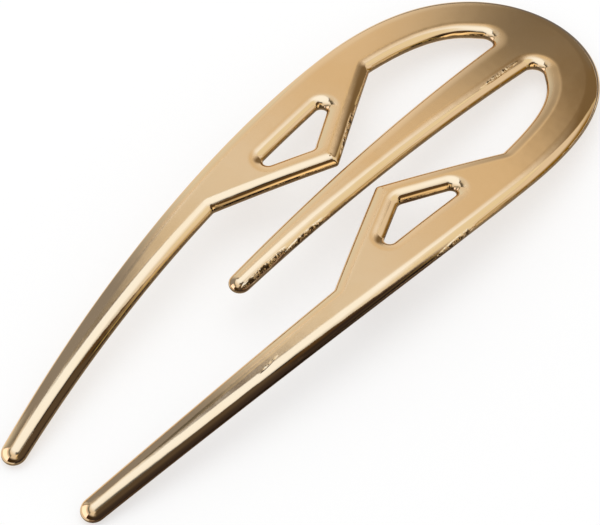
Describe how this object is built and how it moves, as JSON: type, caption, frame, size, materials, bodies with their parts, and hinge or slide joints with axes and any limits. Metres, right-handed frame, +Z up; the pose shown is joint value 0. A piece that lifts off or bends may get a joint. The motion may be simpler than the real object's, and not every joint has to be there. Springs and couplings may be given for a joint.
{
  "type": "hair fork",
  "caption": "One-piece gold-plated hair fork: two long bowed outer prongs with inward triangular barbs, joined by an arch to a shorter centre prong.",
  "frame": {"origin": "under the middle of the fork's bounding box, on the surface that it lies on with its convex side up", "axes": "X across the prongs, +Y towards the closed crown and -Y towards the tips, +Z up through the convex face"},
  "size_m": [0.0414, 0.1138, 0.009],
  "materials": {
    "gold_plate": "polished gold plate over a cast metal body"
  },
  "bodies": {
    "root": {"hair_fork": "gold_plate"}
  },
  "joints": []
}
